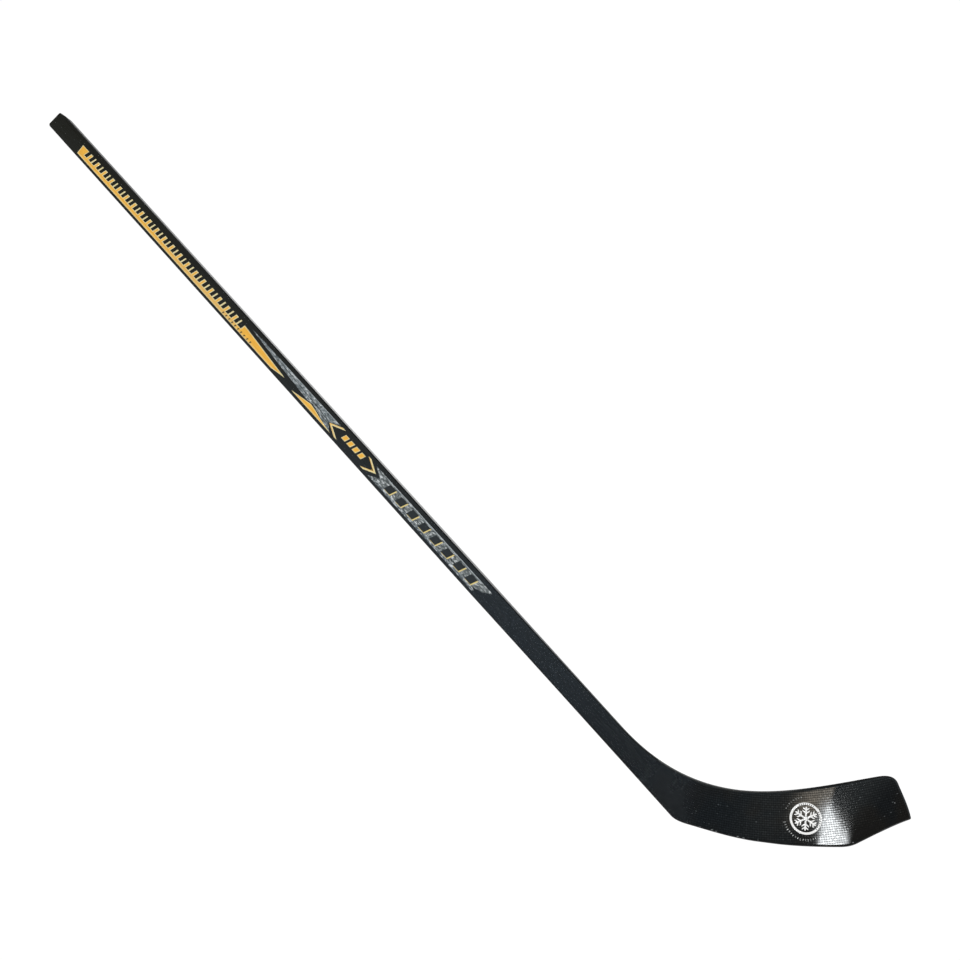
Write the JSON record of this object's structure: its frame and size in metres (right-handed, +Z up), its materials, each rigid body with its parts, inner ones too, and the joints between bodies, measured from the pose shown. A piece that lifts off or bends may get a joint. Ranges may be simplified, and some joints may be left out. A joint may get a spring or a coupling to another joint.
{
  "type": "ice hockey stick",
  "caption": "Laminated wood hockey stick: rectangular shaft with glass facings, tapered neck and a curved, cloth-covered blade.",
  "frame": {"origin": "middle of the small true flat on the sole, on the shaft's middle plane", "axes": "+Z up in the playing stance, +X from the heel to the toe, -Y is the printed front face; the shaft rises towards -X and +Z"},
  "size_m": [1.3681, 0.0456, 0.9979],
  "materials": {
    "birch": "black lacquer where it shows",
    "aspen": "black lacquer where it shows",
    "ash": "inside the cloth",
    "black_lacquer": "glossy black lacquer over glass fibre",
    "woven_glass": "woven glass cloth in black resin, semi-gloss",
    "black_resin": "smooth black resin"
  },
  "bodies": {
    "root": {"shaft_middle_ply": "birch", "shaft_front_board": "aspen", "shaft_back_board": "aspen", "shaft_front_veneer": "birch", "shaft_back_veneer": "birch", "shaft_front_glass": "black_lacquer", "shaft_back_glass": "black_lacquer", "neck_front_wrap": "woven_glass", "neck_back_wrap": "woven_glass", "throat_block": "ash", "blade_core": "ash", "blade_top_strip": "birch", "blade_front_cloth": "woven_glass", "blade_back_cloth": "woven_glass", "blade_edge_rim": "black_resin"}
  },
  "joints": []
}
